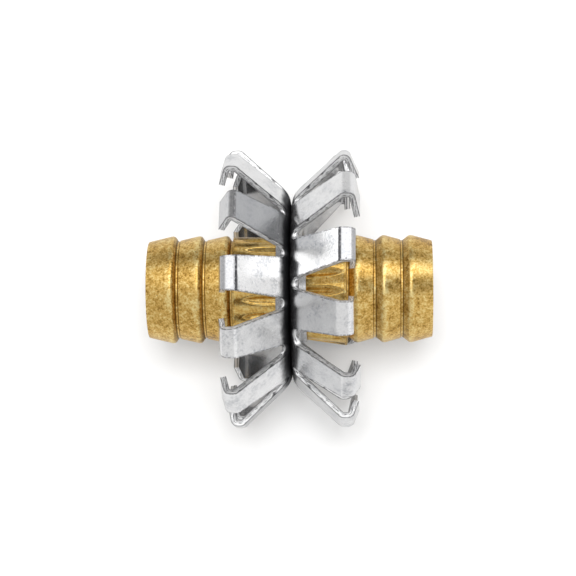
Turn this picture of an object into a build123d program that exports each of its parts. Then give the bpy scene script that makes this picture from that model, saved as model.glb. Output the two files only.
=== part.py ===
from build123d import *

import os
from math import atan2, cos, degrees, radians, sin, tan

# A clinch hose mender: a brass stem with a barbed tail at each end, and two stamped steel crowns back to back on
# its middle. Each hose end is pushed over a tail and under the crown's fingers, which are then hammered down.
# The stem's axis is X, its centre is the origin, and the mender lies on its fingertips with +Z up. All lengths
# are in millimetres and all angles in degrees.

# Stem, turned from brass tube, for a hose with a bore of 15.9
stem_length = 44.5
bore_radius = 6.75
mouth_radius = 7.55  # outside of the tail at its mouth
crest_radius = 8.4  # outside of each barb
groove_radius = 7.65  # outside of the grooves between barbs
barb_count = 3
barb_pitch = 4.2
end_barb_length = 4.85  # from the last groove to the mouth
barb_back_left = 0.8  # length of a barb's steep side, which holds the hose
barb_back_right = 1.3
barb_land = 0.45  # length of the crest

# Necks, between the crowns and the barbs. The right one is swaged out to lock the crowns on
seat_radius = 7.75  # outside of the stem under the crowns' collars
neck_start_radius_left = 8.2  # beside the crown's collar
neck_end_radius_left = 8.2  # beside the first groove
neck_start_radius_right = 7.95
neck_end_radius_right = 8.85
neck_bead = 0.45  # straight length at the outer end of each neck

# Flutes pressed into the necks, which run out towards the barbs
flute_count = 18
flute_angle = 100.0  # between a flute's two walls
flute_depth = 0.45  # at the neck's start
flute_margin_left = 1.9  # plain length between a flute's end and the first groove
flute_margin_right = 0.55
flute_turn_left = 15.0
flute_turn_right = 5.0

# Crowns, stamped from sheet steel
sheet = 0.9
finger_count = 12
crown_shift = 0.25  # the crowns' common back lies this far right of the stem's middle
flat_radius = 12.6  # from the axis to the start of a finger's bend
cup_round = 4.25  # outside radius of that bend
flare = 44.0  # angle between a finger and the axis
rim_radius = 21.75  # from the axis to the top of the hooks
hook_round = 1.4  # outside radius of a hook's bend
hook_lean = 16.0  # angle between a hook's end and the plane across the axis
hook_depth = 4.25  # from the top of a hook in to its end
notch_radius = 14.55  # from the axis to the bottom of the notches between fingers
notch_round = 0.95  # radius of that bottom, which sets the width of a finger's root
taper_start = 2.2  # from a crown's back to where its fingers begin to narrow
tip_width = 4.95  # of a finger, at the end of its hook
crown_turn_left = -3.5
crown_turn_right = 15.0

# Collar drawn out of a crown's bore, towards its fingers
collar_height = 2.35  # from the crown's back
collar_wall = 0.5
collar_flange = 1.6  # width of the flat ring that the collar is drawn from
collar_clearance = 0.01  # between a collar and the stem


def neck_end():
    """Distance from the stem's middle to its first groove, where the barbs begin."""
    return stem_length / 2 - end_barb_length - (barb_count - 1) * barb_pitch


def half_outline(side, neck_start_radius, neck_end_radius, barb_back):
    """Corners (x, radius) of one half of the stem's outside, from the crowns' seat out to the mouth."""
    seat_end = collar_height + side * crown_shift
    corners = [
        (seat_end, seat_radius),
        (seat_end, neck_start_radius),
        (neck_end() - neck_bead, neck_end_radius),
        (neck_end(), neck_end_radius),
    ]
    for i in range(barb_count):
        groove = neck_end() + i * barb_pitch
        corners.append((groove, groove_radius))
        corners.append((groove + barb_back, crest_radius))
        corners.append((groove + barb_back + barb_land, crest_radius))
    corners.append((stem_length / 2, mouth_radius))
    corners.append((stem_length / 2, bore_radius))
    return [(side * x, radius) for x, radius in corners]


def flute(side, start_radius, end_radius, margin):
    """The cutter for one flute along the top of one neck: a V that slopes up, so that the flute runs out."""
    start = collar_height + side * crown_shift
    run = neck_end() - margin - start
    rise = end_radius - start_radius + flute_depth
    slope = degrees(atan2(rise, run))
    top = 2 * flute_depth
    half_width = top * tan(radians(flute_angle / 2))
    vee = make_face(Polyline((0, 0), (half_width, top), (-half_width, top), close=True))
    rod = Rot(Z=90 * side) * Rot(X=90) * extrude(vee, 2 * run, both=True)
    sloping = Pos(side * start, 0, start_radius - flute_depth) * Rot(Y=-side * slope) * rod
    beyond_start = Pos(side * (start + run), 0, 0) * Box(2 * run, 2 * crest_radius, 4 * crest_radius)
    return sloping & beyond_start


def stem():
    right = half_outline(1, neck_start_radius_right, neck_end_radius_right, barb_back_right)
    left = half_outline(-1, neck_start_radius_left, neck_end_radius_left, barb_back_left)
    outline = Polyline(*right, *left[::-1], close=True)
    body = revolve(make_face(Plane.XZ * outline), Axis.X, 360)
    cutters = []
    for side, start, end, margin, turn in (
        (-1, neck_start_radius_left, neck_end_radius_left, flute_margin_left, flute_turn_left),
        (1, neck_start_radius_right, neck_end_radius_right, flute_margin_right, flute_turn_right),
    ):
        cutter = flute(side, start, end, margin)
        cutters += [Rot(X=turn + 360 / flute_count * i) * cutter for i in range(flute_count)]
    return body - cutters


def towards(centre, corner, radius):
    """The inside corner of a bend in the sheet, from its outside corner, the bend's centre and its radius."""
    return centre + (corner - centre) * ((radius - sheet) / radius)


def finger_section():
    """One finger, cut along its middle, in the plane of the axis (x) and the radius (y)."""
    along = Vector(cos(radians(flare)), sin(radians(flare)))
    down = Vector(sin(radians(hook_lean)), -cos(radians(hook_lean)))
    bend_centre = Vector(cup_round, flat_radius)
    bend = Vector(0, flat_radius + cup_round * tan(radians(90 - flare) / 2))
    hook_tangent = hook_round * tan(radians(flare + 90 - hook_lean) / 2)
    hook_y = rim_radius - hook_round + hook_round * along.X + hook_tangent * along.Y
    hook = bend + along * ((hook_y - bend.Y) / along.Y)
    hook_centre = hook - along * hook_tangent + Vector(along.Y, -along.X) * hook_round
    end = hook + down * ((hook.Y - rim_radius + hook_depth) / -down.Y)
    corners = [
        (Vector(0, seat_radius), 0),
        (bend, cup_round),
        (hook, hook_round),
        (end, 0),
        (end + Vector(down.Y, -down.X) * sheet, 0),
        (towards(hook_centre, hook, hook_round), hook_round - sheet),
        (towards(bend_centre, bend, cup_round), cup_round - sheet),
        (Vector(sheet, seat_radius), 0),
    ]
    return corners, end.X


def finger():
    """One finger with its share of the crown's flat, pointing up."""
    corners, end_x = finger_section()
    points = [corner for corner, rounding in corners]
    outline = FilletPolyline(*points, radius=[rounding for corner, rounding in corners], close=True)
    bent_sheet = extrude(make_face(Plane.XZ * outline), rim_radius, both=True)

    half_pitch = 180 / finger_count
    out = Vector(sin(radians(half_pitch)), cos(radians(half_pitch)))
    reach = 2 * rim_radius
    centre = out * (notch_radius + notch_round)
    bottom = out * notch_radius
    middle = centre + Vector(-notch_round, 0).rotate(Axis.Z, 45 - half_pitch / 2)
    side = centre - Vector(notch_round, 0)
    right = Line((0, 0), bottom) + ThreePointArc(bottom, middle, side) + Line(side, (side.X, reach))
    left = mirror(right, Plane.YZ)
    share = make_face(right + left + Line((-side.X, reach), (side.X, reach)))
    wedge = extrude(Plane.YZ * share, reach, both=True)

    taper = [(-sheet, reach), (taper_start, reach), (taper_start, side.X), (end_x, tip_width / 2)]
    plan = Polyline(*taper, *[(x, -y) for x, y in taper[::-1]], close=True)
    return bent_sheet & wedge & extrude(make_face(plan), reach)


def crown():
    """A crown on the right of its back plane, with one finger pointing up."""
    bore = seat_radius + collar_clearance
    flange = bore + collar_wall + collar_flange
    points = [(0, bore), (collar_height, bore), (collar_height, bore + collar_wall),
              (sheet, bore + collar_wall), (sheet, flange), (0, flange)]
    outline = Polyline(*points, close=True)
    collar = revolve(make_face(Plane.XZ * outline), Axis.X, 360)
    one = finger()
    fingers = Part() + [Rot(X=360 / finger_count * i) * one for i in range(finger_count)]
    hole = Rot(Y=90) * Cylinder(flange, 2 * collar_height)
    return fingers - hole + collar


def main():
    os.makedirs("parts", exist_ok=True)
    middle = Pos(crown_shift, 0, 0)
    export_step(stem(), "parts/barbed_stem.step")
    export_step(middle * Rot(X=crown_turn_right) * crown(), "parts/right_crown.step")
    export_step(middle * Rot(X=crown_turn_left) * Rot(Z=180) * crown(), "parts/left_crown.step")


main()
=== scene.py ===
from math import ceil, cos, degrees, pi, radians, sin, sqrt, tan

import bmesh
import bpy
from mathutils import Matrix, Vector


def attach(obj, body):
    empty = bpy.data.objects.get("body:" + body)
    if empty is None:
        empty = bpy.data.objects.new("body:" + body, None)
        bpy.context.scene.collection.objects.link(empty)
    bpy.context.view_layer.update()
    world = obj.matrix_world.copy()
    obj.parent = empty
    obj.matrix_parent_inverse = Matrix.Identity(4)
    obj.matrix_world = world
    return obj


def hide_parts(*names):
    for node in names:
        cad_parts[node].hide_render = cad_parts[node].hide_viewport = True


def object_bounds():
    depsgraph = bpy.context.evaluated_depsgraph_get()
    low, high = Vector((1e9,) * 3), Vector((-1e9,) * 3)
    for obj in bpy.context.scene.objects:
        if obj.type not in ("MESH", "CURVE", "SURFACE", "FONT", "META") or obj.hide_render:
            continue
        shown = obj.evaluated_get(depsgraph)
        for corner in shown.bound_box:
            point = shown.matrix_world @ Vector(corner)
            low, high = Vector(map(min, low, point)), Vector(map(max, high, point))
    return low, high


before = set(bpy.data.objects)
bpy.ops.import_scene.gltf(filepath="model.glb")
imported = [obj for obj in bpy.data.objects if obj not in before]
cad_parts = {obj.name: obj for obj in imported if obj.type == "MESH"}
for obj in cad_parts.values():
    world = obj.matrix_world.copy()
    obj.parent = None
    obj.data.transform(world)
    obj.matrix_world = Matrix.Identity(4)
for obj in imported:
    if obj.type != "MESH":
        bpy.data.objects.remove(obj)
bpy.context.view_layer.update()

# The barbed stem is one piece of brass tube, turned outside: three barbs at each end hold the hoses, and
# a neck on each side of the middle is pressed with flutes, which swage it against the crowns. It was
# tumbled after turning, so its skin is finely pitted and the crests of the barbs are soft.
MM = 0.001  # the sizes are in millimetres, from the middle of the stem and from its axis
stem_length = 44.5
bore_radius = 6.75
mouth_radius = 7.55
mouth_round = {"outside": 0.2, "inside": 0.15}
bore_reach = 2.0  # how far into the bore one half of the outline goes
seat_radius = 7.75
seat_end = 2.35
crown_shift = 0.25  # the crowns' common back lies this far right of the stem's middle

neck_start_radius = {-1: 8.2, 1: 7.95}  # -1 is the left neck and 1 the right one
neck_end_radius = {-1: 8.2, 1: 8.85}
neck_end = 9.0  # the first groove, where the barbs begin
neck_bead = 0.45  # straight length at the outer end of each neck
bead_corners = ((0.4, 0.3), (0.1, 0.12))  # how far before the neck's end each one is, and its rounding
neck_start_round = 0.06
neck_points = 24  # along each neck, for the flutes to follow

barb_count = 3
barb_pitch = 4.2
barb_back = {-1: 0.72, 1: 1.2}  # length of a barb's steep side
barb_back_round = {-1: 0.55, 1: 0.8}
crest_radius = 8.42
crest_land = 0.45
crest_round = 0.9
groove_radius = 7.62
groove_floor = (-0.08, 0.2)  # start and end of a groove's floor, from the groove's place
slope_end = -0.22  # where the slope before a groove ends, at a fine step
slope_end_radius = 7.78
fine_round = 0.08  # of the corners of grooves and steps
finest_round = 0.05

flute_count = 18
flute_depth = 0.7
flute_slope = 0.85  # of a flute's two walls
flute_radius = 8.0  # where a flute's width is measured
flute_soft = 0.25  # share of the depth over which a flute's edges are eased
flute_run_out = {-1: 7.3, 1: 8.45}
flute_turn = {-1: 15.0, 1: 5.0}
seat_margin = 0.02  # the flutes keep clear of the seat, of the grooves and of the neck's end
groove_margin = 0.05
end_margin = 0.3
steps_around = 288

brass_shades = [(0.37, (0.31, 0.16, 0.03)), (0.5, (0.74, 0.465, 0.125)), (0.63, (0.99, 0.80, 0.36))]
pit_colour = (0.14, 0.07, 0.02, 1.0)
# The colour of the painted shade in the grooves' dark lines.
groove_shade_colour = (0.10, 0.05, 0.015, 1.0)


def rounded(corners, step=10.0):
    """A line through the corners (x, y, rounding), where each rounding is a run of short steps."""
    line = []
    for i, (x, y, rounding) in enumerate(corners):
        corner = Vector((x, y))
        before = (Vector(corners[i - 1][:2]) - corner).normalized()
        after = (Vector(corners[(i + 1) % len(corners)][:2]) - corner).normalized()
        half = before.angle(after) / 2
        straight = half > radians(89.9)
        if straight or not rounding:
            line.append(corner)
            continue
        centre = corner + (before + after).normalized() * (rounding / sin(half))
        start = corner + before * (rounding / tan(half)) - centre
        end = corner + after * (rounding / tan(half)) - centre
        turn = start.angle_signed(end)
        steps = max(2, ceil(abs(degrees(turn)) / step))
        for k in range(steps + 1):
            line.append(centre + Matrix.Rotation(-turn * k / steps, 2) @ start)
    return line


def stem_half(side):
    """Corners of one half of the stem's outline, from the seat out to the mouth and into the bore."""
    start = seat_end + side * crown_shift
    begin, end = neck_start_radius[side], neck_end_radius[side]
    corners = [(start, seat_radius, 0), (start, begin, neck_start_round)]
    for k in range(1, neck_points):
        x = start + (neck_end - neck_bead - start) * k / neck_points
        corners.append((x, begin + (end - begin) * k / neck_points, 0))
    corners += [(neck_end - before, end, rounding) for before, rounding in bead_corners]
    for barb in range(barb_count):
        groove = neck_end + barb * barb_pitch
        back = groove + barb_back[side]
        if barb:
            corners.append((groove + slope_end, slope_end_radius, fine_round))
        corners += [
            (groove + groove_floor[0], groove_radius, finest_round),
            (groove + groove_floor[1], groove_radius, fine_round),
            (back, crest_radius, barb_back_round[side]),
            (back + crest_land, crest_radius, crest_round),
        ]
    mouth = stem_length / 2
    corners += [
        (mouth, mouth_radius, mouth_round["outside"]),
        (mouth, bore_radius, mouth_round["inside"]),
        (mouth - bore_reach, bore_radius, 0),
    ]
    return [(side * x, radius, rounding) for x, radius, rounding in corners]


class Wire:
    """A node's output. Expressions on it add Math nodes, and node() adds any other node to its tree."""

    def __init__(self, tree, socket=None):
        self.tree = tree
        self.socket = socket

    def node(self, kind, settings=None, inputs=None, out=0):
        """Adds a node, its settings first and then its sockets' values or wires, and gives one output."""
        new = self.tree.nodes.new(kind)
        for name, value in (settings or {}).items():
            if name == "stops":
                stops = new.color_ramp.elements
                for i, (position, colour) in enumerate(value):
                    stop = stops[i] if i < len(stops) else stops.new(position)
                    stop.position = position
                    stop.color = (*colour, 1.0)
            else:
                setattr(new, name, value)
        for key, value in (inputs or {}).items():
            if isinstance(value, Wire):
                self.tree.links.new(value.socket, new.inputs[key])
            else:
                new.inputs[key].default_value = value
        return Wire(self.tree, new.outputs[out] if len(new.outputs) else None)

    def other(self, out):
        """Another output of the node that this wire comes from."""
        return Wire(self.tree, self.socket.node.outputs[out])

    def feed(self, shader, name):
        """Links this wire to a socket of the shader."""
        self.tree.links.new(self.socket, shader.inputs[name])

    def math(self, operation, *others):
        return self.node("ShaderNodeMath", {"operation": operation}, dict(enumerate((self, *others))))

    def __add__(self, other):
        return self.math("ADD", other)

    __radd__ = __add__

    def __sub__(self, other):
        return self.math("SUBTRACT", other)

    def __rsub__(self, other):
        return self.node("ShaderNodeMath", {"operation": "SUBTRACT"}, {0: other, 1: self})

    def __mul__(self, other):
        return self.math("MULTIPLY", other)

    __rmul__ = __mul__

    def __truediv__(self, other):
        return self.math("DIVIDE", other)

    def between(self, low, high):
        """0 below low, 1 above high and a smooth step from one to the other."""
        return self.node("ShaderNodeMapRange", {"interpolation_type": "SMOOTHSTEP", "clamp": True}, {
            "Value": self, "From Min": low, "From Max": high})

    def near(self, place, inner, outer):
        """1 within inner of a place and 0 beyond outer of it."""
        return 1 - (self - place).math("ABSOLUTE").between(inner, outer)

    def mix(self, first, second):
        """The colour second where this is 1, and first where it is 0."""
        return self.node("ShaderNodeMix", {"data_type": "RGBA"}, {0: self, 6: first, 7: second}, out=2)


def geometry_tree(name, sockets):
    """An empty Geometry Nodes tree with named inputs, and a wire for each of them."""
    tree = bpy.data.node_groups.new(name, "GeometryNodeTree")
    tree.interface.new_socket("Geometry", in_out="INPUT", socket_type="NodeSocketGeometry")
    for label, kind in sockets.items():
        tree.interface.new_socket(label, in_out="INPUT", socket_type=kind)
    tree.interface.new_socket("Geometry", in_out="OUTPUT", socket_type="NodeSocketGeometry")
    first = Wire(tree).node("NodeGroupInput")
    return tree, {label: first.other(label) for label in ["Geometry", *sockets]}


def grown(obj, tree, values):
    """Gives obj the mesh that the tree makes from these values, as a plain mesh with no modifier left."""
    modifier = obj.modifiers.new(tree.name, "NODES")
    modifier.node_group = tree
    for item in tree.interface.items_tree:
        if item.in_out == "INPUT" and item.name in values:
            modifier[item.identifier] = values[item.name]
    bpy.context.view_layer.update()
    evaluated = obj.evaluated_get(bpy.context.evaluated_depsgraph_get())
    mesh = bpy.data.meshes.new_from_object(evaluated)
    obj.modifiers.remove(modifier)
    obj.data = mesh


def placed(name, mesh=None):
    """A new object in the scene, at the origin."""
    obj = bpy.data.objects.new(name, mesh or bpy.data.meshes.new(name))
    bpy.context.scene.collection.objects.link(obj)
    return obj


stem_line = [point * MM for point in rounded(stem_half(1) + stem_half(-1)[::-1])]
line_mesh = bpy.data.meshes.new("stem_line")
line_mesh.from_pydata([(point.x, 0, point.y) for point in stem_line], [], [])
line_piece = placed("stem_line", line_mesh)

# The outline is copied round the axis as the columns of a grid, and sunk along the flutes.
turned, given = geometry_tree("Turned stem", {
    "Outline": "NodeSocketObject",
    "Outline points": "NodeSocketInt",
    "Steps around": "NodeSocketInt",
    "Flutes": "NodeSocketInt",
    "Flute depth": "NodeSocketFloat",
    "Flute slope": "NodeSocketFloat",
    "Brass": "NodeSocketMaterial",
})
root = Wire(turned)
grid = root.node("GeometryNodeMeshGrid", inputs={
    "Vertices X": given["Steps around"] + 1, "Vertices Y": given["Outline points"] + 1})
index = root.node("GeometryNodeInputIndex")
row_length = given["Outline points"] + 1
around = (index / row_length).math("FLOOR")
along_line = (index - around * row_length).math("MODULO", given["Outline points"])
line_shape = root.node("GeometryNodeObjectInfo", inputs={"Object": given["Outline"]}, out="Geometry")
line_spot = root.node("GeometryNodeSampleIndex", {"data_type": "FLOAT_VECTOR"}, {
    "Geometry": line_shape, "Value": root.node("GeometryNodeInputPosition"), "Index": along_line})
axial = root.node("ShaderNodeSeparateXYZ", inputs={0: line_spot})
radius = axial.other(2)
angle = around / given["Steps around"] * (2 * pi)
sunk = 0
for side in (-1, 1):
    begin = (seat_end + side * crown_shift) * MM
    run = (axial * side - begin) / (flute_run_out[side] * MM - begin)
    past_seat = (axial * side).math("GREATER_THAN", begin + seat_margin * MM)
    on_neck = radius.math("GREATER_THAN", (groove_radius + groove_margin) * MM)
    share = ((angle - radians(flute_turn[side])) / (2 * pi) * given["Flutes"]).math("FRACT")
    beside = (0.5 - (share - 0.5).math("ABSOLUTE")) * (2 * pi * flute_radius * MM) / given["Flutes"]
    run_out = 1 - (run.math("MAXIMUM", 0) * run * run * run).math("MINIMUM", 1)
    deep = (run_out * given["Flute depth"] - beside * given["Flute slope"]).math("MAXIMUM", 0)
    eased = (deep / (given["Flute depth"] * flute_soft)).math("MINIMUM", 1)
    sunk = deep * eased * past_seat * on_neck + sunk
sunk = sunk * axial.math("ABSOLUTE").math("LESS_THAN", (neck_end - end_margin) * MM)
fluted = radius - sunk
ring = root.node("ShaderNodeCombineXYZ", inputs={
    0: axial, 1: fluted * angle.math("SINE") * -1, 2: fluted * angle.math("COSINE")})
tube = root.node("GeometryNodeSetPosition", inputs={"Geometry": grid, "Position": ring})
tube = root.node("GeometryNodeMergeByDistance", inputs={"Geometry": tube, "Distance": 0.001 * MM})
tube = root.node("GeometryNodeRealizeInstances", inputs={"Geometry": tube})
tube = root.node("GeometryNodeSetMaterial", inputs={"Geometry": tube, "Material": given["Brass"]})
root.node("NodeGroupOutput", inputs={0: tube})


def metal(name):
    """A new material, its Principled shader, a wire to start nodes from, and its Object coordinates."""
    material = bpy.data.materials.new(name)
    material.use_nodes = True
    shader = material.node_tree.nodes["Principled BSDF"]
    shader.inputs["Metallic"].default_value = 1.0
    first = Wire(material.node_tree)
    return material, shader, first, first.node("ShaderNodeTexCoord", out="Object")


def noise(where, size, detail=3.0, roughness=0.6):
    """Noise with features of about that size, from 0 to 1."""
    return where.node("ShaderNodeTexNoise", inputs={
        "Vector": where, "Scale": 1 / (size * MM), "Detail": detail, "Roughness": roughness})


def spots(where, apart, inner, outer):
    """1 in small round spots about that far apart, and 0 between them."""
    scale = 1 / (apart * MM)
    distance = where.node("ShaderNodeTexVoronoi", inputs={"Vector": where, "Scale": scale}, out="Distance")
    return 1 - distance.between(inner, outer)


def relief(height, strength, depth):
    """The normal of a surface with this height on it, at most that deep."""
    return height.node("ShaderNodeBump", inputs={
        "Strength": strength, "Distance": depth * MM, "Height": height})


brass, shader, start, where = metal("tumbled_brass")
grain = noise(where, 0.3, detail=2.0)
mottle = noise(where, 0.9)
cloud = noise(where, 4.5, detail=2.0, roughness=0.55)
pit = spots(where, 1.3, 0.05, 0.12)
spot = start.node("ShaderNodeSeparateXYZ", inputs={0: where})
from_middle = spot.math("ABSOLUTE") / MM
from_axis = (spot.other(1) * spot.other(1) + spot.other(2) * spot.other(2)).math("SQRT") / MM

# Painted shade lies in two dark lines at each groove: at the foot of the steep side and at the lip of the
# slope.
past_groove = (((from_middle - neck_end) / barb_pitch + 0.5).math("FRACT") - 0.5) * barb_pitch
last_slope = neck_end + (barb_count - 1) * barb_pitch + 1.8  # no groove comes after it
barbed = from_middle.between(neck_end - 0.35, neck_end - 0.25)
barbed = barbed * (1 - from_middle.between(last_slope, last_slope + 0.2))
groove_foot = past_groove.near(0.24, 0.04, 0.16)
groove_lip = past_groove.near(-0.17, 0.02, 0.12)
groove_shade = groove_foot.math("MAXIMUM", groove_lip * 0.7) * barbed * (0.5 + mottle * 0.5)

# The crests are rubbed a little brighter, and the swaged necks are smoother than the tails.
rubbed = from_axis.between(8.2, crest_radius) * from_middle.between(neck_end, neck_end + 0.1)
swaged = 1 - from_middle.between(neck_end - 0.6, neck_end - 0.3)
tone = grain * 0.44 + mottle * 0.38 + cloud * 0.18 + rubbed * 0.05 - 0.5
tone = tone * (1 - swaged * 0.35) + swaged * 0.02 + 0.5
shade = tone.node("ShaderNodeValToRGB", {"stops": brass_shades}, {0: tone})
shade = (pit * 0.7).mix(shade, pit_colour)
# The grooves' dark lines are painted shade.
shade = (groove_shade * 0.9).math("MINIMUM", 1).mix(shade, groove_shade_colour)
shade.feed(shader, "Base Color")
dull = 0.22 + mottle * 0.16 + grain * 0.12 - rubbed * 0.04 - swaged * 0.16
dull.feed(shader, "Roughness")
height = (grain * 0.6 + mottle * 0.9 + cloud * 0.5 - pit * 0.8) * (1 - swaged * 0.6)
relief(height, 0.6, 0.06).feed(shader, "Normal")

stem = placed("brass_stem")
grown(stem, turned, {
    "Outline": line_piece, "Outline points": len(stem_line), "Steps around": steps_around,
    "Flutes": flute_count, "Flute depth": flute_depth * MM, "Flute slope": flute_slope, "Brass": brass})
bpy.data.objects.remove(line_piece)
tube_mesh = bmesh.new()
tube_mesh.from_mesh(stem.data)
bmesh.ops.recalc_face_normals(tube_mesh, faces=tube_mesh.faces)
tube_mesh.to_mesh(stem.data)
tube_mesh.free()
stem.data.shade_smooth()
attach(stem, "root")
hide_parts("barbed_stem")

# The two crowns are the same stamping in sheet steel, zinc plated: a collar drawn over the stem, a flat,
# and twelve fingers bent out and hooked at their ends. They were sheared before the bending, so their
# edges are bright and scored, and each is bent a little differently. The crease is painted dark, as shade.
sheet = 0.9
finger_count = 12
collar_wall = 0.5
collar_clearance = 0.01
collar_back_round = 0.9  # of the bend from the flat into the collar, on each face of the sheet
collar_front_round = 0.45
flat_rings = (9.6, 11.0)  # edges across the flat, between the collar and the bend
flat_radius = 12.6
cup_round = 4.25
flare = 44.0  # angle between a finger and the axis
rim_radius = 21.72
hook_round = 1.1  # of each of a hook's two bends
hook_flat = 0.4  # between the two bends
hook_lean = 13.0
hook_depth = 4.22
notch_radius = 14.55
notch_round = 0.95
taper_start = 2.2
tip_width = 4.95
worn_edge = 0.1
sharp_edge = 50.0  # edges that turn by less aren't worn
turn_of_crown = {"left": -3.5, "right": 15.0}
facing_of_crown = {"left": pi, "right": 0.0}

zinc_shades = [(0.36, (0.64, 0.65, 0.67)), (0.49, (0.905, 0.905, 0.91)), (0.6, (0.97, 0.97, 0.97))]
sheared_shades = [(0.36, (0.07, 0.07, 0.075)), (0.45, (0.66, 0.66, 0.67)), (0.56, (0.98, 0.98, 0.98))]
grey_zinc = (0.30, 0.31, 0.33, 1.0)
# The next two are painted shade: on the hooks of marked fingers, and on the fingers' inner faces.
hook_shade_colour = (0.34, 0.34, 0.36, 1.0)
inner_shade_colour = (0.06, 0.062, 0.068, 1.0)
torn_steel = (0.2, 0.2, 0.21, 1.0)
# Colours of the painted shade along the sheared bands' edges and along the faces' edges.
edge_shade_colour = (0.05, 0.05, 0.055, 1.0)
face_edge_shade_colour = (0.10, 0.10, 0.105, 1.0)
speck_colour = (0.06, 0.06, 0.07, 1.0)
# Painted shade across the bends of marked fingers.
bend_line_shade = (0.08, 0.08, 0.09, 1.0)
# The colour of the painted shade in the crease between the crowns.
crease_shade_colour = (0.025, 0.025, 0.028, 1.0)

# How each finger differs from the rest, counted round from the top. In mm: how far its end leans out and
# sways sideways, how much wider the flat of its hook is, how far its hook opens, how much shorter the hook
# is, and how much narrower the finger is on one side. From 0 to 1: how strong the dent and the painted
# shade across its bend and on its hook are, and how grey its faces are, which also sets the painted shade
# on its inner faces, where less than 0 is brighter inside.
bend_labels = ("lean", "sway", "wide", "open", "short", "trim", "mark", "grey")
bends = {
    "left": [
        (0.15, 0.0, 0.5, -0.4, 0.0, 0.0, 1.0, 0.0),
        (0.5, 0.0, -0.5, 0.3, 1.2, 0.0, 0.5, 0.65),
        (0.6, 0.0, 0.1, -0.1, 1.2, 0.0, 0.0, 0.0),
        (0.3, 0.0, 0.1, -0.3, 0.8, 0.0, 0.0, 0.2),
        (-0.2, 0.0, 0.0, -0.3, 1.2, 0.0, 0.0, 0.5),
        (0.0, 0.0, 0.0, -0.2, 0.5, 0.0, 0.0, 0.3),
        (0.1, 0.1, 0.0, -0.2, 0.2, 0.0, 0.4, 0.0),
        (-0.2, 0.0, 0.0, -0.1, 0.4, 0.0, 0.0, 0.2),
        (0.0, 0.0, 0.0, 0.0, 0.6, 0.0, 0.0, 0.0),
        (0.0, 0.0, 0.0, -0.2, 0.3, 0.0, 0.0, 0.45),
        (0.45, 0.0, 0.1, -0.2, 1.2, 0.0, 0.0, 0.0),
        (0.35, 0.3, 0.4, -0.4, 0.3, 0.5, 0.0, 0.1),
    ],
    "right": [
        (-0.2, 0.0, 0.5, -0.7, 0.0, 0.0, 0.0, 0.25),
        (0.4, 0.0, 0.2, -0.1, 1.8, 0.8, 0.0, 0.3),
        (0.1, 0.0, 0.2, -0.1, 1.6, 0.0, 0.0, 0.15),
        (0.0, 0.0, 0.0, -0.1, 0.4, 0.0, 0.0, 0.0),
        (-0.1, 0.0, 0.0, 0.0, 0.6, 0.0, 0.0, 0.3),
        (0.1, 0.1, 0.0, 0.1, 0.0, 0.0, 0.5, 0.1),
        (0.0, 0.0, -0.1, -0.1, 0.3, 0.0, 0.0, 0.0),
        (-0.3, 2.4, -0.2, -0.7, 2.4, 0.0, 0.0, -0.2),
        (-0.6, 0.0, 0.0, -0.4, 1.2, 0.0, 0.0, 0.2),
        (0.3, 0.0, -0.38, 0.45, 0.6, 0.0, 0.0, 0.1),
        (0.4, 0.0, 0.2, -0.1, -0.6, 0.0, 0.0, 0.0),
        (0.25, 0.0, 0.4, -0.9, 0.0, 0.0, 1.0, 0.0),
    ],
}

half_pitch = pi / finger_count
notch_centre = Vector((sin(half_pitch), cos(half_pitch))) * (notch_radius + notch_round)
notch_start = notch_radius * cos(half_pitch)
root_half = notch_centre.x - notch_round


def heading(angle):
    """The way along the sheet where it makes this angle with the axis, as (x, radius)."""
    return Vector((cos(radians(angle)), sin(radians(angle))))


def inward(angle):
    """The way through the sheet there, from its back to its front."""
    return Vector((sin(radians(angle)), -cos(radians(angle))))


def cup_point(radius, offset):
    """The point at this radius on the bend out of the flat, or past it, this far in from the back."""
    bend_radius = cup_round - offset
    bend_top = flat_radius + bend_radius * sin(radians(90 - flare))
    if radius <= bend_top:
        risen = (radius - flat_radius) / bend_radius
        return Vector((cup_round - bend_radius * sqrt(1 - risen * risen), radius))
    x = cup_round - bend_radius * cos(radians(90 - flare))
    return Vector((x + (radius - bend_top) / tan(radians(flare)), radius))


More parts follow.
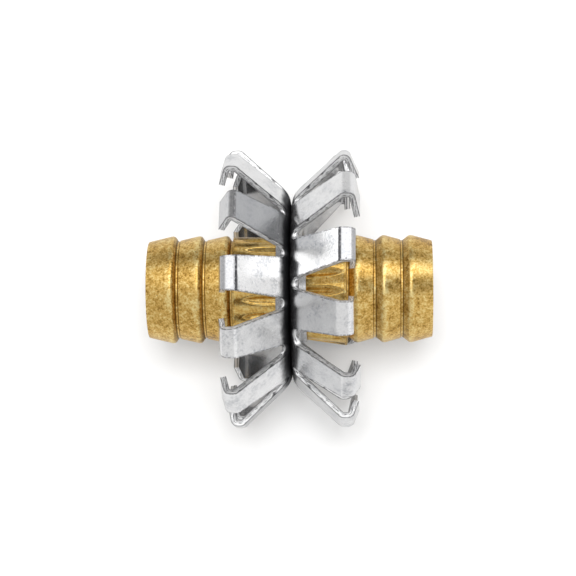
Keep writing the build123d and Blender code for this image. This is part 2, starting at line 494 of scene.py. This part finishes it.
def finger_lines():
    """The sheet's two faces, cut along the middle of a finger, from the collar to the hook's end.

    Each row holds the point (x, radius) on the back and on the front, and then how far it is past the
    notch, up the straight of the finger, across the flat of the hook and down the hook's end, each from
    0 to 1. With them come the numbers of the rows where the flat, the notch and the hook start.
    """
    rows = []

    def add(back, front, loose=0, rise=0, flat=0, plate=0):
        rows.append((back, front, loose, rise, flat, plate))

    collar_outer = seat_radius + collar_clearance
    bend_start = sheet + collar_front_round
    for k in range(4):
        x = seat_end - (seat_end - bend_start) * k / 3
        add(Vector((x, collar_outer)), Vector((x, collar_outer + collar_wall)))
    for k in range(1, 8):
        turned_by = radians(90 * k / 7)
        back = Vector((1 - sin(turned_by), 1 - cos(turned_by))) * collar_back_round
        front = Vector((1 - sin(turned_by), 1 - cos(turned_by))) * collar_front_round
        add(back + Vector((0, collar_outer)), front + Vector((sheet, collar_outer + collar_wall)))
    collar_rows = len(rows)
    for radius in (*flat_rings, flat_radius):
        add(Vector((0, radius)), Vector((sheet, radius)))

    for k in range(1, 6):
        radius = flat_radius + (notch_start - flat_radius) * k / 5
        add(cup_point(radius, 0), cup_point(radius, sheet))
    notch_row = len(rows) - 1
    for k in range(1, 8):
        radius = notch_centre.y - notch_round * sin(radians(75 - 75 * k / 7))
        add(cup_point(radius, 0), cup_point(radius, sheet), k / 7)

    back = Vector((cup_round, flat_radius)) - inward(flare) * cup_round
    front = back + inward(flare) * sheet
    add(back, front, 1)
    hook_start = rim_radius - hook_round * (1 - cos(radians(flare)))
    spot = back + heading(flare) * ((hook_start - back.y) / heading(flare).y)
    for k in range(1, 17):
        add(back.lerp(spot, k / 16), front.lerp(spot + inward(flare) * sheet, k / 16), 1, k / 16)
    hook_row = len(rows) - 1

    angle = flare
    for turned_by, steps, straight, cuts in ((flare, 7, hook_flat, 2), (90 - hook_lean, 9, None, 6)):
        centre = spot + inward(angle) * hook_round
        for k in range(1, steps + 1):
            now = angle - turned_by * k / steps
            spot = centre - inward(now) * hook_round
            add(spot, spot + inward(now) * sheet, 1, 1, 0 if straight else 1)
        angle -= turned_by
        length = straight or (spot.y - rim_radius + hook_depth) / -heading(angle).y
        for k in range(1, cuts + 1):
            ahead = spot + heading(angle) * (length * k / cuts)
            flat, plate = (k / cuts, 0) if straight else (1, k / cuts)
            add(ahead, ahead + inward(angle) * sheet, 1, 1, flat, plate)
        spot = ahead
    return rows, collar_rows, notch_row, hook_row


def half_width(point, end_x):
    """Half of a finger's width at a point (x, radius) of its section: in the flat, notch or taper."""
    if point.y <= notch_start + 0.0001:
        return point.y * tan(half_pitch)
    below = notch_centre.y - point.y
    if below > 0:
        return notch_centre.x - sqrt(notch_round ** 2 - below ** 2)
    share = min(max((point.x - taper_start) / (end_x - taper_start), 0), 1)
    return root_half - (root_half - tip_width / 2) * share


finger_rows, collar_rows, notch_row, hook_row = finger_lines()
end_x = finger_rows[-1][0].x
columns = 12
finger = bmesh.new()
sheared = finger.faces.layers.float.new("sheared")
labels = ("path", "depth", "side", "loose", "rise", "flat", "plate")
layers = {label: finger.verts.layers.float.new(label) for label in labels}
faces = [[], []]
for face in (0, 1):
    path = 0.0
    for number, row in enumerate(finger_rows):
        point = row[face]
        if number:
            path += (point - finger_rows[number - 1][face]).length
        line = []
        for column in range(columns + 1):
            aside = 2 * column / columns - 1
            if number < collar_rows:
                turned_by = aside * half_pitch
                corner = Vector((point.x, point.y * sin(turned_by), point.y * cos(turned_by)))
            else:
                corner = Vector((point.x, aside * half_width(point, end_x), point.y))
            vertex = finger.verts.new(corner * MM)
            for label, value in zip(labels, (path, face, aside, *row[2:])):
                vertex[layers[label]] = value
            line.append(vertex)
        faces[face].append(line)
back_face, front_face = faces
hook_path = back_face[hook_row][0][layers["path"]]
last_row = len(finger_rows) - 1
for number in range(last_row):
    for lines, flip in ((back_face, 1), (front_face, -1)):
        lower, upper = lines[number], lines[number + 1]
        for column in range(columns):
            corners = [lower[column], lower[column + 1], upper[column + 1], upper[column]]
            finger.faces.new(corners[::flip])
    if number >= notch_row:
        for flank, flip in ((0, 1), (-1, -1)):
            corners = [back_face[number][flank], back_face[number + 1][flank],
                       front_face[number + 1][flank], front_face[number][flank]]
            finger.faces.new(corners[::flip])[sheared] = 1.0
for number, flip in ((0, 1), (last_row, -1)):
    for column in range(columns):
        corners = [back_face[number][column], front_face[number][column],
                   front_face[number][column + 1], back_face[number][column + 1]]
        finger.faces.new(corners[::flip])[sheared] = 1.0
finger_mesh = bpy.data.meshes.new("finger")
finger.to_mesh(finger_mesh)
finger.free()
finger_piece = placed("finger", finger_mesh)

# The finger is repeated round the axis and joined to its neighbours. Then each is bent in its own way, and
# the crown is faced to its side, turned, and set against the other one.
crowned, given = geometry_tree("Crown of fingers", {
    "Finger": "NodeSocketObject",
    "Bends": "NodeSocketObject",
    "Fingers": "NodeSocketInt",
    "Turn": "NodeSocketFloat",
    "Facing": "NodeSocketFloat",
    "Shift": "NodeSocketFloat",
    "Zinc": "NodeSocketMaterial",
})
root = Wire(crowned)


def attribute(name):
    """A number that every point of the mesh carries under this name."""
    return root.node("GeometryNodeInputNamedAttribute", {"data_type": "FLOAT"}, {"Name": name})


def stored(geometry, name, value):
    """The geometry with a number on each of its points."""
    return root.node("GeometryNodeStoreNamedAttribute", {"data_type": "FLOAT", "domain": "POINT"},
                     {"Geometry": geometry, "Name": name, "Value": value})


points = root.node("GeometryNodePoints", inputs={"Count": given["Fingers"]})
finger_number = root.node("GeometryNodeInputIndex")
points = stored(points, "finger", finger_number)
step = root.node("ShaderNodeCombineXYZ", inputs={0: finger_number / given["Fingers"] * (2 * pi)})
finger_shape = root.node("GeometryNodeObjectInfo", inputs={"Object": given["Finger"]}, out="Geometry")
fingers = root.node("GeometryNodeInstanceOnPoints", inputs={
    "Points": points, "Instance": finger_shape, "Rotation": step})
fingers = root.node("GeometryNodeRealizeInstances", inputs={"Geometry": fingers})
fingers = root.node("GeometryNodeMergeByDistance", inputs={"Geometry": fingers, "Distance": 0.002 * MM})
bend_list = root.node("GeometryNodeObjectInfo", inputs={"Object": given["Bends"]}, out="Geometry")


def of_finger(name):
    """The value under this name in the list of bends, for the finger that a point belongs to."""
    return root.node("GeometryNodeSampleIndex", {"data_type": "FLOAT"}, {
        "Geometry": bend_list, "Value": attribute(name), "Index": attribute("finger") + 0.1})


place = root.node("ShaderNodeSeparateXYZ", inputs={0: root.node("GeometryNodeInputPosition")})
out_from_axis = (place.other(1) * place.other(1) + place.other(2) * place.other(2)).math("SQRT")
out_y = place.other(1) / out_from_axis
out_z = place.other(2) / out_from_axis
rise, plate = attribute("rise"), attribute("plate")
moved_ahead = rise * of_finger("lean") + attribute("flat") * of_finger("wide")
moved_ahead = moved_ahead + plate * of_finger("open")
trim = of_finger("trim")
trimmed = (attribute("side") * trim.math("ABSOLUTE") + trim) * attribute("loose") * -0.5
moved_aside = rise * of_finger("sway") - trimmed
moved_out = plate * of_finger("short")
moved = root.node("ShaderNodeCombineXYZ", inputs={
    0: moved_ahead,
    1: moved_out * out_y - moved_aside * out_z,
    2: moved_out * out_z + moved_aside * out_y})
fingers = root.node("GeometryNodeSetPosition", inputs={"Geometry": fingers, "Offset": moved})
for label in ("mark", "grey"):
    fingers = stored(fingers, f"finger_{label}", of_finger(label))
facing = root.node("ShaderNodeCombineXYZ", inputs={2: given["Facing"]})
fingers = root.node("GeometryNodeTransform", inputs={"Geometry": fingers, "Rotation": facing})
shift = root.node("ShaderNodeCombineXYZ", inputs={0: given["Shift"]})
turn = root.node("ShaderNodeCombineXYZ", inputs={0: given["Turn"]})
fingers = root.node("GeometryNodeTransform", inputs={
    "Geometry": fingers, "Translation": shift, "Rotation": turn})
fingers = root.node("GeometryNodeSetMaterial", inputs={"Geometry": fingers, "Material": given["Zinc"]})
root.node("NodeGroupOutput", inputs={0: fingers})

zinc, shader, start, where = metal("zinc_plate")
edge, depth, path, flank, mark, grey = (
    start.node("ShaderNodeAttribute", {"attribute_name": name}, out="Fac")
    for name in ("sheared", "depth", "path", "side", "finger_mark", "finger_grey"))
blotch = noise(where, 2.4)
fine = noise(where, 0.4)
speck = spots(where, 3.1, 0.03, 0.055)
spot = start.node("ShaderNodeSeparateXYZ", inputs={0: where})
outside = 1 - depth.between(0.3, 0.7)
# Painted shade darkens the outer faces near the crease between the crowns, with blotchy edges.
from_crease = (spot / MM - crown_shift + 0.35).math("ABSOLUTE")
crease_shade = (1 - (from_crease + blotch * 1.2 - 0.6).between(0.35, 1.35)) * outside

# The sheared bands are scored along the cut and torn towards the front, with painted shade as dark lines
# along both of their edges. The faces beside them end in a broken dark line of painted shade.
scores = start.node("ShaderNodeCombineXYZ", inputs={0: path / 0.6, 1: depth * 5.0, 2: blotch})
streak = start.node("ShaderNodeTexNoise", inputs={
    "Vector": scores, "Scale": 1.0, "Detail": 3.0, "Roughness": 0.6})
torn = depth.between(0.62, 0.74) * (0.4 + fine)
edge_shade_lines = (1 - depth.between(0.04, 0.2)).math("MAXIMUM", depth.between(0.86, 1.0)) * edge
face_edge_shade = flank.math("ABSOLUTE").between(0.89, 0.98) * (1 - edge) * fine.between(0.42, 0.54)

# Some hooks get a dent across the bend, with painted shade there and on the hook. Inner faces get painted
# shade, stronger towards the hook.
hooked = path.between(hook_path, hook_path + 0.3)
bend_dent_and_shade = path.near(hook_path + 0.3, 0.1, 0.34) * mark * outside * (0.25 + fine.between(0.36, 0.5))
under = path.between(hook_path - 1.2, hook_path + 0.2) * 0.4 + 0.5

tone = blotch * 0.55 + fine * 0.45
plated = tone.node("ShaderNodeValToRGB", {"stops": zinc_shades}, {0: tone})
scored = streak.node("ShaderNodeValToRGB", {"stops": sheared_shades}, {0: streak})
plated = (grey * outside * (1 - hooked)).math("MAXIMUM", 0).mix(plated, grey_zinc)
# Painted shade on the hooks of marked fingers.
plated = (mark * outside * hooked * (0.3 + blotch * 0.6)).mix(plated, hook_shade_colour)
# Painted shade on the fingers' inner faces, stronger towards the hook.
plated = ((1 - outside) * under * (grey + 0.5)).mix(plated, inner_shade_colour)
shade = edge.mix(plated, scored)
shade = (torn * edge * 0.4).mix(shade, torn_steel)
# Painted shade along the edges of the sheared bands and of the faces beside them.
shade = (edge_shade_lines * 0.9).mix(shade, edge_shade_colour)
shade = (face_edge_shade * 0.75).mix(shade, face_edge_shade_colour)
shade = (speck * 0.75).mix(shade, speck_colour)
# Painted shade across the bends of marked fingers; the dent there is in the relief below.
shade = bend_dent_and_shade.math("MINIMUM", 0.92).mix(shade, bend_line_shade)
# Painted shade in the crease; it is also made rougher there.
shade = (crease_shade * 0.97).mix(shade, crease_shade_colour)
shade.feed(shader, "Base Color")
dull = 0.14 + blotch * 0.14 + fine * 0.06 + edge * 0.1 + crease_shade * 0.3
dull.feed(shader, "Roughness")
height = fine * 0.5 + blotch * 0.7 + edge * streak * 1.4 - bend_dent_and_shade * 1.5
relief(height, 0.4, 0.05).feed(shader, "Normal")

for name, turn_angle in turn_of_crown.items():
    bend_mesh = bpy.data.meshes.new(f"{name}_bends")
    bend_mesh.from_pydata([(0, 0, 0)] * finger_count, [], [])
    for column, label in enumerate(bend_labels):
        unit = 1.0 if label in ("mark", "grey") else MM
        numbers = bend_mesh.attributes.new(label, "FLOAT", "POINT").data
        for row, number in zip(bends[name], numbers):
            number.value = row[column] * unit
    bend_piece = placed(f"{name}_bends", bend_mesh)
    crown = placed(f"steel_{name}_crown")
    grown(crown, crowned, {
        "Finger": finger_piece, "Bends": bend_piece, "Fingers": finger_count, "Turn": radians(turn_angle),
        "Facing": facing_of_crown[name], "Shift": crown_shift * MM, "Zinc": zinc})
    bpy.data.objects.remove(bend_piece)
    crown.data.shade_smooth()
    bevel = crown.modifiers.new("Worn edges", "BEVEL")
    bevel.width = worn_edge * MM
    bevel.segments = 2
    bevel.limit_method = "ANGLE"
    bevel.angle_limit = radians(sharp_edge)
    bevel.harden_normals = True
    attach(crown, "root")
    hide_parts(f"{name}_crown")
bpy.data.objects.remove(finger_piece)

# The mender lies on its fingertips on a plain white table, under a soft light right above it. The metal
# reflects a duller table than the camera sees, a bright card behind it and to the right, another low on
# its left, and a dark one beside the camera. The cards and the duller table are seen only in the metal.
up = (0, 0, 1)
table_size = (3.0, 3.0)
table_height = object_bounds()[0][2]
table_colour = (0.83, 0.83, 0.83)
reflected_table_colour = (0.545, 0.545, 0.545)
card_grey = (0.5, 0.5, 0.5)
card_black = (0.01, 0.01, 0.01)
white = (1.0, 1.0, 1.0, 1.0)


def flat_card(name, centre, size, normal, colour, glow=0.0, only_reflected=True):
    """A flat card that faces along normal."""
    turned_to = Vector(normal).to_track_quat("Z", "Y").to_matrix()
    half_x, half_y = size[0] / 2, size[1] / 2
    corners = [(-half_x, -half_y, 0), (half_x, -half_y, 0), (half_x, half_y, 0), (-half_x, half_y, 0)]
    corners = [Vector(centre) + turned_to @ Vector(corner) for corner in corners]
    mesh = bpy.data.meshes.new(name)
    mesh.from_pydata(corners, [], [(0, 1, 2, 3)])
    card = placed(name, mesh)
    material = bpy.data.materials.new(name)
    material.use_nodes = True
    shader = material.node_tree.nodes["Principled BSDF"]
    shader.inputs["Base Color"].default_value = (*colour, 1.0)
    shader.inputs["Roughness"].default_value = 0.9
    shader.inputs["Specular IOR Level"].default_value = 0.1
    shader.inputs["Emission Color"].default_value = white
    shader.inputs["Emission Strength"].default_value = glow
    mesh.materials.append(material)
    card.visible_camera = card.visible_diffuse = card.visible_shadow = not only_reflected
    card.visible_glossy = only_reflected


flat_card("table", (0, 0, table_height - 0.02 * MM), table_size, up, table_colour, only_reflected=False)
flat_card("table_as_reflected", (0, 0, table_height), table_size, up, reflected_table_colour)
flat_card("bright_card", (0.26, 0.34, 0.34), (0.24, 0.15), (-0.26, -0.34, -0.34), card_grey, glow=1.9)
flat_card("side_card", (-0.16, 0.08, 0.024), (0.06, 0.092), (0.16, -0.08, 0.0), card_grey, glow=1.0)
flat_card("dark_card", (0.27, 0.07, 0.44), (0.28, 0.26), (-0.27, -0.07, -0.44), card_black)

world = bpy.data.worlds.new("studio")
bpy.context.scene.world = world
world.use_nodes = True
background = world.node_tree.nodes["Background"]
background.inputs["Color"].default_value = white
sky = Wire(world.node_tree)
toward = sky.node("ShaderNodeSeparateXYZ", inputs={0: sky.node("ShaderNodeTexCoord", out="Generated")})
overhead = (toward.other(1) * 0.45 + toward.other(2) * 0.89).between(0.77, 0.99)
far_side = toward.other(1).between(0.6, 0.98)
right_side = toward.between(0.2, 0.6)
sky_glow = 0.68 + overhead * 1.25 - far_side * 0.5 + right_side * 0.2
sky_glow.feed(background, "Strength")

lamp_place = Vector((0.01, 0.05, 0.6))
lamp = bpy.data.lights.new("overhead_light", "AREA")
lamp.shape = "RECTANGLE"
lamp.size = lamp.size_y = 0.2
lamp.energy = 2.4
lamp_object = bpy.data.objects.new("overhead_light", lamp)
bpy.context.scene.collection.objects.link(lamp_object)
lamp_object.location = lamp_place
lamp_object.rotation_euler = (-lamp_place).to_track_quat("-Z", "Y").to_euler()
lamp_object.visible_glossy = False

# The camera looks almost straight down on the mender, from a little to the right and in front.
camera_aim = Vector((-0.41, 0.19, 0.0)) * MM
camera_distance = 0.378
camera_yaw = radians(1.9)
camera_tilt = Matrix.Rotation(radians(3.3), 3, "X")
camera_roll = Matrix.Rotation(radians(-0.32), 3, "Z")
away = camera_tilt @ Vector((sin(camera_yaw), 0, cos(camera_yaw)))
across = (camera_tilt @ camera_roll @ Vector((0, 1, 0))).cross(away).normalized()
upright = away.cross(across)
lens = bpy.data.cameras.new("camera")
lens.sensor_width = 36.0
lens.sensor_fit = "HORIZONTAL"
lens.lens = 150.0
lens.clip_start = 0.01
camera = bpy.data.objects.new("camera", lens)
bpy.context.scene.collection.objects.link(camera)
facing_axes = Matrix((across, upright, away)).transposed().to_4x4()
camera.matrix_world = Matrix.Translation(camera_aim + away * camera_distance) @ facing_axes
bpy.context.scene.camera = camera
bpy.context.scene.view_settings.view_transform = "Standard"
